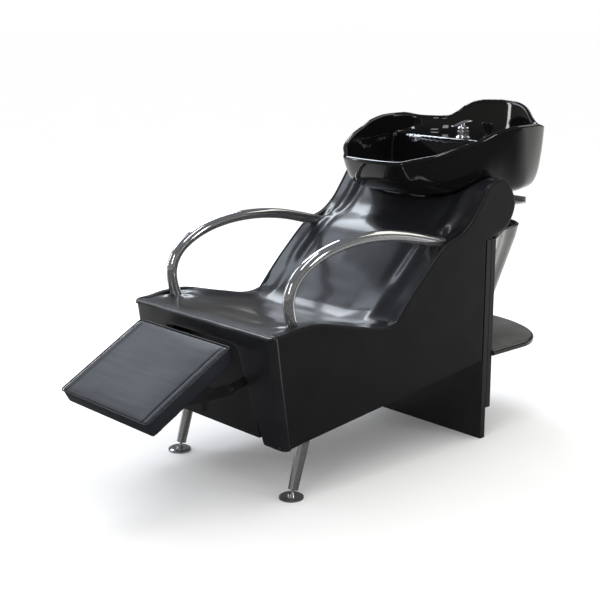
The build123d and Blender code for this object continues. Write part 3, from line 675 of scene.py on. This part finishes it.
def inflate(obj, pinned, cap, voxel, pressure):
    """Swell a closed form like stuffed vinyl: remesh, cloth with inner pressure, capped travel."""
    remesh = obj.modifiers.new("remesh", "REMESH")
    remesh.mode = "VOXEL"
    remesh.voxel_size = voxel
    baked(obj)
    start = [v.co.copy() for v in obj.data.vertices]
    group = obj.vertex_groups.new(name="pinned")
    group.add([v.index for v in obj.data.vertices if pinned(v.co)], 1.0, "REPLACE")
    cloth = obj.modifiers.new("cloth", "CLOTH")
    cloth.settings.use_pressure = True
    cloth.settings.uniform_pressure_force = pressure
    cloth.settings.effector_weights.gravity = 0
    cloth.settings.vertex_group_mass = "pinned"
    scene = bpy.context.scene
    for number in range(1, CLOTH_FRAMES + 1):
        scene.frame_set(number)
    baked(obj)
    scene.frame_set(1)
    for v, was in zip(obj.data.vertices, start):
        travel = v.co - was
        if travel.length > cap:
            v.co = was + travel * (cap / travel.length)
    smooth = obj.modifiers.new("subdivision", "SUBSURF")
    smooth.levels = 1
    smooth.render_levels = 1
    baked(obj)
    for poly in obj.data.polygons:
        poly.use_smooth = True


def legrest_pad():
    """Boxed cushion: crowned top, sides that pull in between the corners, sewn channels near the edges."""
    half = high("legrest_cushion").x
    origin = Vector((0, *PAD_FRONT)) - PAD_UP * PAD_THICK
    corner, inset, corner_steps = 9 * MM, 3 * MM, 6
    outline = []
    for quarter, (sx, sl) in enumerate(((1, 1), (-1, 1), (-1, -1), (1, -1))):
        for k in range(corner_steps + 1):
            a = math.pi / 2 * (quarter + k / corner_steps)
            cx = sx * (half - inset - corner)
            cl = sl * (PAD_LENGTH / 2 - inset - corner)
            outline.append(Vector((cx + corner * math.cos(a), cl + corner * math.sin(a))))

    def place(p, h):
        return origin + Vector((p.x, 0, 0)) + PAD_ALONG * (p.y + PAD_LENGTH / 2) + PAD_UP * h
    levels = [(0.0, 2 * MM), (2 * MM, 0.0), (38 * MM, 0.0), (41 * MM, 1 * MM), (42 * MM, 4 * MM)]
    rings = [[place(p, h) for p in inset_loop(outline, d)] for h, d in levels]
    verts, faces = loops_mesh(rings)
    pad = add_piece("legrest_pad_cover", verts, faces, None, "legrest_vinyl")

    def held(co):
        """The flat underside and the welt line, which is sewn and doesn't swell."""
        rel = co - origin
        side = half - abs(rel.x)
        end = PAD_LENGTH / 2 - abs(rel.dot(PAD_ALONG) - PAD_LENGTH / 2)
        return rel.dot(PAD_UP) < 4 * MM or (rel.dot(PAD_UP) > 35 * MM and min(side, end) < 9 * MM)
    inflate(pad, held, cap=4 * MM, voxel=5 * MM, pressure=4.0)
    highest = PAD_THICK + 2 * MM
    for v in pad.data.vertices:
        h = (v.co - origin).dot(PAD_UP)
        along = (v.co - origin).dot(PAD_ALONG)
        face = smoothstep(30 * MM, 38 * MM, h)
        channel = -1.6 * MM * near(abs(v.co.x), half - 24 * MM, 2.6 * MM)
        wrinkles = 0.35 * MM * noise.noise(Vector((v.co.x * 9, along * 70, 1.7)))
        crown = 0.0
        v.co += PAD_UP * (channel + wrinkles + crown) * face
        h = (v.co - origin).dot(PAD_UP)
        v.co += PAD_UP * (min(max(h, 0.0), highest) - h)
    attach(pad, "legrest_pad")
    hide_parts("legrest_cushion")
    edge = []
    for p in resample(outline + outline[:1], 260, closed=True):
        edge.append(place(p * 1.004, 40.5 * MM))
    tube("legrest_welt", edge + edge[:1], 1.9 * MM, "legrest_pad", "legrest_vinyl", 10, caps=False)


# ------------------------------------------------------------------ basin
# millimetres: places along from the body's rear edge, heights from the floor
BASIN_FRONT, BASIN_LENGTH, BASIN_HALF = -190, 587, 266
FOOT_FRONT, FOOT_LENGTH, FOOT_HALF = 8, 206, 165
BASIN_LOW, BOWL_FLOOR, DECK_TOP = 686, 700, 828
BOWL_Y = 120                                     # centre of the bowl's dish
DECK_START, DECK_FULL = 140, 186                 # where the floor rises to the tap's deck
WALL_THICK, LIP_DROP, LIP_HEIGHT = 13, 6, 6.5

# half width of the rim against the share of the basin's length
PLAN = [(0, 0.0), (60, 0.003), (108, 0.018), (138, 0.066), (189, 0.150), (222, 0.257), (241, 0.353),
        (261, 0.530), (BASIN_HALF, 0.640), (258, 0.745), (234, 0.835), (170, 0.925), (85, 0.985)]
# the rim's height along the basin, and the splash guard's extra height across it
RIM = [(-210, 796), (-186, 797), (-150, 806), (-100, 821), (-39, 842), (17, 858), (73, 877), (149, 888),
       (225, 889), (300, 877), (410, 874)]
SPLASH = [(0, 60), (60, 57), (95, 50), (120, 38), (145, 17), (172, 3), (190, 0)]
# how far the wall has spread from the foot to the rim, against its height, at the front and at the rear
WALL = [(0, 0), (0.03, 0.22), (0.06, 0.35), (0.10, 0.48), (0.17, 0.63), (0.25, 0.74), (0.35, 0.82),
        (0.50, 0.89), (0.8, 0.965), (1.0, 1.0)]
WALL_REAR = [(0, 0), (0.02, 0.36), (0.04, 0.52), (0.07, 0.65), (0.10, 0.74), (0.167, 0.83), (0.32, 0.905),
             (0.48, 0.94), (0.715, 0.975), (1.0, 1.0)]


def curve_at(rows, value):
    """Smooth look-up in (key, number) rows."""
    keys = [k for k, _ in rows]
    vals = [v for _, v in rows]
    if value <= keys[0]:
        return vals[0]
    if value >= keys[-1]:
        return vals[-1]
    i = max(k for k in range(len(keys) - 1) if keys[k] <= value)
    t = (value - keys[i]) / (keys[i + 1] - keys[i])
    m0 = slope_at(keys, vals, i)
    m1 = slope_at(keys, vals, i + 1)
    d = keys[i + 1] - keys[i]
    return ((2 * t ** 3 - 3 * t ** 2 + 1) * vals[i] + (t ** 3 - 2 * t ** 2 + t) * d * m0
            + (3 * t ** 2 - 2 * t ** 3) * vals[i + 1] + (t ** 3 - t ** 2) * d * m1)


def slope_at(keys, vals, i):
    """Slope of the look-up curve at row i, flat at a peak so that it doesn't overshoot."""
    if i == 0 or i == len(keys) - 1:
        j = min(i, len(keys) - 2)
        return (vals[j + 1] - vals[j]) / (keys[j + 1] - keys[j])
    a = (vals[i] - vals[i - 1]) / (keys[i] - keys[i - 1])
    b = (vals[i + 1] - vals[i]) / (keys[i + 1] - keys[i])
    return 0.0 if a * b <= 0 else 2 * a * b / (a + b)


def plan_loop():
    """The basin's rim in plan."""
    right = PLAN + [(0, 1.0)]
    left = [(-x, t) for x, t in reversed(PLAN[1:])]
    points = [Vector((x, BASIN_FRONT + t * BASIN_LENGTH)) for x, t in right + left]
    return counter_clockwise(spline(points, 220, closed=True))


def rim_height(x, y):
    """The rim's height, with the splash guard behind the tap."""
    return curve_at(RIM, y) + curve_at(SPLASH, abs(x)) * smoothstep(250, 330, y)


def basin_foot(p):
    """Point of the flat underside below rim point p."""
    return Vector((p.x * FOOT_HALF / BASIN_HALF,
                   FOOT_FRONT + (p.y - BASIN_FRONT) * FOOT_LENGTH / BASIN_LENGTH))


def bowl_floor(x, y):
    """Height of the bowl's inside floor: a dished bottom and the tap's deck behind it."""
    flat, slope = 30, 0.10
    dish = slope * max(0.0, math.hypot(x, y - BOWL_Y) - flat)
    rise = smoothstep(DECK_START, DECK_FULL, y)
    return (BOWL_FLOOR + dish) * (1 - rise) + DECK_TOP * rise


def basin_rings(loop, floor, steps):
    """Rings from the rim down the wall to the flat underside, for a rim loop in plan."""
    crowding = 1.8                               # packs the rings towards the foot
    rings = []
    for k in range(steps + 1):
        t = (1 - k / steps) ** crowding
        front_share, rear_share = curve_at(WALL, t), curve_at(WALL_REAR, t)
        ring = []
        for p in loop:
            share = front_share + (rear_share - front_share) * smoothstep(90, 220, p.y)
            q = basin_foot(p).lerp(p, share)
            rim = rim_height(p.x, p.y) - LIP_DROP
            ring.append(Vector((q.x, q.y, floor + (rim - floor) * t)))
        rings.append(ring)
    return rings


def basin_shell():
    """Glazed bowl in one skin: underside, outer wall, rolled lip, inner wall, and the floor with its deck."""
    outline = plan_loop()
    wall_steps, lip_steps, floor_steps = 34, 8, 14
    outer = basin_rings(outline, BASIN_LOW, wall_steps)
    inner = basin_rings(inset_loop(outline, WALL_THICK), BOWL_FLOOR, wall_steps)
    rings = list(reversed(outer))
    underside = sum(rings[0], Vector()) / len(outline)
    rings.insert(0, [underside.lerp(v, 0.5) for v in rings[0]])
    for k in range(1, lip_steps):
        a = math.pi * k / lip_steps
        ring = []
        for o, i in zip(outer[0], inner[0]):
            crest = (o + i) / 2
            ring.append(crest + (o - crest) * math.cos(a) + Vector((0, 0, LIP_HEIGHT)) * math.sin(a))
        rings.append(ring)
    inside = len(rings)
    rings += inner
    centre = Vector((0, BOWL_Y, BOWL_FLOOR))
    for k in range(1, floor_steps):
        rings.append([centre.lerp(v, 1 - k / floor_steps) for v in inner[-1]])
    fillet, reach = 26, 4                        # the deck meets the wall in a soft fillet
    for ring in rings[inside:]:
        for v in ring:
            floor = bowl_floor(v.x, v.y)
            soft = fillet * smoothstep(150, DECK_FULL, v.y)
            if v.z < floor + reach * soft:
                v.z = (v.z + floor + math.hypot(v.z - floor, soft)) / 2
    rings = [[Vector((v.x * MM, REAR + v.y * MM, v.z * MM)) for v in ring] for ring in rings]
    verts, faces = loops_mesh(rings)
    shell = add_piece("basin_shell", verts, faces, "basin_head", "black_glaze")
    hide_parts("basin")
    return shell


# ------------------------------------------------------------------ tap and spray
TAP = (0.0, centre_of("tap_body")[1])
SPRAY = centre_of("spray_holder")
# the lever's blade: place along, half width, middle height and half thickness, from the tip to the rear
BLADE = [(153.2, 3.4, 866.2, 0.8), (155.5, 5.4, 866.3, 1.5), (162, 6.2, 867.0, 1.8), (178, 7.6, 869.9, 2.1),
         (196, 9.6, 873.8, 2.6), (212, 11.0, 876.4, 3.0), (228, 11.4, 877.8, 2.6), (237.5, 9, 877.8, 1.8),
         (240.0, 5, 877.6, 0.9)]


def tap():
    """Single-lever tap: stepped column, domed cap with a neck, and an arched blade."""
    body = rounded_path([(0, 791), (14, 791), (14, 828), (24, 828.4), (24, 832.5), (19, 835), (18, 839),
                         (18, 851.6), (13.5, 852.2), (0, 852.2)], 1.6)
    piece = lathe("tap_column", body, TAP, "basin_head", "chrome")
    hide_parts("tap_body")
    cap = rounded_path([(0, 853), (17.4, 853), (18.2, 855), (18, 859.5), (14.5, 863), (8, 864.6), (6, 867),
                        (5.6, 873.5), (0, 874)], 2.2)
    piece = lathe("tap_dome", cap, TAP, "mixer_cap", "chrome")
    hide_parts("tap_cap")
    stations, sides, squareness, crown = 48, 20, 0.7, 0.10
    tip, rear = BLADE[0][0], BLADE[-1][0]
    loops = []
    for i in range(stations):
        y = rear + (tip - rear) * i / (stations - 1)
        w, z, t = (curve_at([(row[0], row[column]) for row in BLADE], y) for column in (1, 2, 3))
        loop = []
        for k in range(sides):
            a = 2 * math.pi * k / sides
            x = w * math.copysign(abs(math.cos(a)) ** squareness, math.cos(a))
            loop.append(Vector((x * MM, y * MM, (z + t * math.sin(a) + crown * (w - abs(x))) * MM)))
        loops.append(loop)
    verts, faces = loops_mesh(loops)
    piece = add_piece("tap_blade", verts, faces, "mixer_lever", "chrome")
    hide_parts("tap_lever")


def spray():
    """Hand spray with a waisted grip and a tilted rose, standing in its ring, and its hose."""
    top = high("spray_head").z / MM
    grip = rounded_path([(0, 808.5), (10, 808.5), (11.1, 811), (11.1, 836), (9.4, 846), (9.6, 852), (12, 859),
                         (16.6, 866.5), (17.8, 870), (17.8, top - 6), (16.4, top - 4), (14.6, top - 4.4),
                         (0, top - 3)], 3.0)
    neck, forward, tilt = 852 * MM, 0.28, 6

    def lean(v):
        """Bend the head forward above the neck and tilt its face."""
        over = max(0.0, v.z - neck)
        return Vector((v.x, v.y - over * forward, v.z - over * (v.y - SPRAY[1]) * tilt))
    piece = lathe("spray_grip", grip, SPRAY, "hand_spray", "black_plastic", shift=lean)
    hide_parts("spray_head")
    x, y = SPRAY
    hose_top, bend_top, hose_end_x, bend_steps = 812, 768, 26 * MM, 18
    rise = [(x, y, z * MM) for z in range(hose_top, bend_top, -2)]
    bend_r = (x - hose_end_x) / 2
    turn = [(x - bend_r + bend_r * math.cos(a), y, bend_top * MM - bend_r * math.sin(a))
            for a in (math.pi * k / bend_steps for k in range(1, bend_steps + 1))]
    hose = tube("spray_hose_cover", rise + turn, lambda t: (5.5 + 0.3 * math.sin(t * 420)) * MM, None,
                "black_rubber", 16)
    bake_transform(hose)
    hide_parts("spray_hose")


def drain_cuff():
    """Ribbed rubber cuff that joins the drain's tail to the hose below."""
    y = centre_of("drain_flange")[1]
    path = [(0, y, z * MM) for z in range(572, 652)]
    cuff = tube("drain_cuff", path, lambda t: (22.4 + 1.3 * math.sin(t * 62)) * MM, None, "black_rubber", 36)
    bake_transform(cuff)


# ------------------------------------------------------------------ pedestal
def cowl_bead():
    """Rolled lip along the open top edge of the pedestal's rear shell."""
    top = high("upper_cowl").z
    centre_y, first_y, narrower = 30 * MM, 32 * MM, 0.993
    edge = {}
    for v in NODES["upper_cowl"].data.vertices:
        if v.co.z > top - 0.3 * MM:
            key = round(math.atan2(v.co.y - centre_y, v.co.x), 2)
            if key not in edge or v.co.xy.length > edge[key].xy.length:
                edge[key] = v.co.copy()
    path = [edge[key] for key in sorted(edge) if edge[key].y > first_y]
    path = [Vector((v.x * narrower, v.y - 1.5 * MM, top - 2.5 * MM)) for v in path]
    path = resample(path, 130)
    for _ in range(6):
        inner = [(a + b * 2 + c) / 4 for a, b, c in zip(path, path[1:], path[2:])]
        path = path[:1] + inner + path[-1:]
    tube("cowl_bead", path, 4.5 * MM, CHAIR, "gloss_shell", 14)


SHELF_STRAIGHT = 145.5 * MM                      # length of the shelf's straight sides


def shelf_slab():
    """D-shaped shelf with a rounded black edge band and a grey laminate top."""
    lo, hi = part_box("shelf")
    half, straight = hi.x, lo.y + SHELF_STRAIGHT
    reach = hi.y - straight
    arc_steps, edge_steps = 96, 5
    outline = [Vector((half, lo.y))]
    outline += [Vector((half * math.cos(a), straight + reach * math.sin(a)))
                for a in (math.pi * k / arc_steps for k in range(arc_steps + 1))]
    outline += [Vector((-half, lo.y))]
    outline = counter_clockwise(resample(outline, 200))
    r, rings = 7 * MM, []
    for turn in (-1, 1):
        level = lo.z + r if turn < 0 else hi.z - r
        for k in range(edge_steps + 1):
            a = math.pi / 2 * (k / edge_steps if turn > 0 else 1 - k / edge_steps)
            ring = inset_loop(outline, r * (1 - math.cos(a)))
            rings.append([Vector((p.x, p.y, level + turn * r * math.sin(a))) for p in ring])
    verts, faces = loops_mesh(rings)
    slab = add_piece("shelf_slab", verts, faces, CHAIR, "gloss_shell")
    slab.data.materials.append(MATERIALS["shelf_laminate"])
    for poly in slab.data.polygons:
        if poly.normal.z > 0 and len(poly.vertices) > 4:
            poly.material_index = 1
            poly.use_smooth = False
    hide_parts("shelf")


def soften_edges():
    """Small bevels on the sawn boards and folded plates, so that their edges catch the light."""
    widths = {"pedestal_front_board": 1.6, "pedestal_rear_board": 1.6, "recess_board": 1.0, "pad_board": 1.0,
              "tilt_bracket": 0.8, "base_plate": 0.8, "arm_plate_left": 0.7, "arm_plate_right": 0.7,
              "pad_bracket_left": 0.6, "pad_bracket_right": 0.6}
    for name, width in widths.items():
        bevel = NODES[name].modifiers.new("bevel", "BEVEL")
        bevel.width = width * MM
        bevel.segments = 2
        bevel.limit_method = "ANGLE"
        bevel.angle_limit = math.radians(50)


# ------------------------------------------------------------------ studio
VIEW_DIRECTION = (-0.68, 0.72, 0)                # from the camera towards the back of the studio


def studio_floor():
    """Pale paper floor; in reflections its colour is painted light and shade, dark in front of the object and
    bright behind it.
    """
    mesh = bpy.data.meshes.new("floor")
    r = 40.0
    mesh.from_pydata([(-r, -r, 0), (r, -r, 0), (r, r, 0), (-r, r, 0)], [], [(0, 1, 2, 3)])
    floor = bpy.data.objects.new("floor", mesh)
    bpy.context.scene.collection.objects.link(floor)
    material, nodes, links, shader = node_material("floor_paper")
    tone = noise_node(nodes, links, coordinates(nodes, links), 3.0, 3.0)
    paper = ramp(nodes, links, tone, [(0.3, (0.985, 0.985, 0.985)), (0.7, (1, 1, 1))])
    path = nodes.new("ShaderNodeLightPath")
    mix = nodes.new("ShaderNodeMix")
    mix.data_type = "RGBA"                       # colour inputs 6 and 7, colour output 2
    links.new(path.outputs["Is Glossy Ray"], mix.inputs["Factor"])
    links.new(paper, mix.inputs[6])
    along = nodes.new("ShaderNodeVectorMath")
    along.operation = "DOT_PRODUCT"
    along.inputs[1].default_value = VIEW_DIRECTION
    place = nodes.new("ShaderNodeTexCoord")
    links.new(place.outputs["Object"], along.inputs[0])
    behind = nodes.new("ShaderNodeMapRange")
    behind.inputs["From Min"].default_value = -0.55
    behind.inputs["From Max"].default_value = 0.75
    links.new(along.outputs["Value"], behind.inputs["Value"])
    # painted reflection: the floor's colour for glossy rays, dark in front of the object and bright behind it
    painted_floor_reflection = ramp(nodes, links, behind.outputs["Result"], [(0.0, (0.05, 0.05, 0.05)), (1.0, (0.75, 0.74, 0.72))])
    links.new(painted_floor_reflection, mix.inputs[7])
    links.new(mix.outputs[2], shader.inputs["Base Color"])
    shader.inputs["Roughness"].default_value = 0.9
    shader.inputs["Specular IOR Level"].default_value = 0.0
    mesh.materials.append(material)


def studio_sky():
    """White surroundings for the camera and the light, and a dim graded sky in reflections."""
    world = bpy.data.worlds.new("studio")
    bpy.context.scene.world = world
    world.use_nodes = True
    nodes, links = world.node_tree.nodes, world.node_tree.links
    nodes.clear()
    out = nodes.new("ShaderNodeOutputWorld")
    plain = nodes.new("ShaderNodeBackground")
    plain.inputs[0].default_value = (1, 1, 1, 1)
    mirrored = nodes.new("ShaderNodeBackground")
    where = nodes.new("ShaderNodeTexCoord")
    split = nodes.new("ShaderNodeSeparateXYZ")
    links.new(where.outputs["Generated"], split.inputs[0])
    height = number_range(nodes, links, split.outputs["Z"], 0.5, 1.0)
    sky = ramp(nodes, links, height, [(0.5, (0.16, 0.155, 0.14)), (0.60, (0.11, 0.11, 0.105)),
                                      (0.8, (0.07, 0.075, 0.085)), (1.0, (0.10, 0.10, 0.11))])
    links.new(sky, mirrored.inputs[0])
    mix = nodes.new("ShaderNodeMixShader")
    path = nodes.new("ShaderNodeLightPath")
    links.new(path.outputs["Is Glossy Ray"], mix.inputs[0])
    links.new(plain.outputs[0], mix.inputs[1])
    links.new(mirrored.outputs[0], mix.inputs[2])
    links.new(mix.outputs[0], out.inputs[0])
    bpy.context.scene.view_settings.view_transform = "Standard"


def softbox(name, place, aim, size, power, colour=(1, 1, 1)):
    """Area light at a place, aimed at a point, unseen by the camera."""
    light = bpy.data.lights.new(name, "AREA")
    light.shape = "RECTANGLE"
    light.size, light.size_y = size
    light.energy = power
    light.color = colour
    obj = bpy.data.objects.new(name, light)
    obj.location = place
    obj.rotation_euler = (Vector(aim) - Vector(place)).to_track_quat("-Z", "Y").to_euler()
    bpy.context.scene.collection.objects.link(obj)
    obj.visible_camera = False


def lights():
    softbox("back_light", (-2.3, 0.75, 2.9), (0, -0.1, 0.6), (1.7, 0.9), 42, (0.86, 0.92, 1.0))
    softbox("legrest_light", (-2.3, -0.95, 2.1), (0, -0.95, 0.35), (1.2, 1.0), 10, (0.80, 0.88, 1.0))
    softbox("rear_card", (0.6, 3.0, 2.8), (0, -0.2, 0.5), (3.0, 1.6), 17, (1.0, 0.95, 0.85))
    softbox("top_strip", (0.5, -0.6, 3.2), (0, 0.0, 0.6), (0.3, 1.6), 8)
    softbox("front_key", (1.5, -3.6, 2.2), (0, -0.4, 0.5), (0.7, 1.5), 12, (1.0, 0.98, 0.95))
    softbox("right_strip", (3.4, 1.2, 1.7), (0, 0.1, 0.7), (0.3, 1.2), 9)
    softbox("left_strip", (-2.8, -2.2, 1.4), (0, -0.4, 0.5), (0.25, 1.4), 8)


CAMERA_PLACE = (2.4017, REAR - 2.6399, 1.2280)
CAMERA_DOWN, CAMERA_TURN = math.radians(13.69), math.radians(47.62)


def camera():
    """Camera off the chair's front left corner, a little above it."""
    data = bpy.data.cameras.new("camera")
    data.lens = 73.55
    data.sensor_width = 36.0
    cam = bpy.data.objects.new("camera", data)
    cam.location = CAMERA_PLACE
    cam.rotation_euler = (math.pi / 2 - CAMERA_DOWN, 0, CAMERA_TURN)
    bpy.context.scene.collection.objects.link(cam)
    bpy.context.scene.camera = cam


# ------------------------------------------------------------------ build
dress_frame()
BASIN = basin_shell()
side_covers()
portal_cover()
seat_and_back()
legrest_pad()
tap()
spray()
drain_cuff()
cowl_bead()
shelf_slab()
soften_edges()
studio_floor()
studio_sky()
lights()
camera()
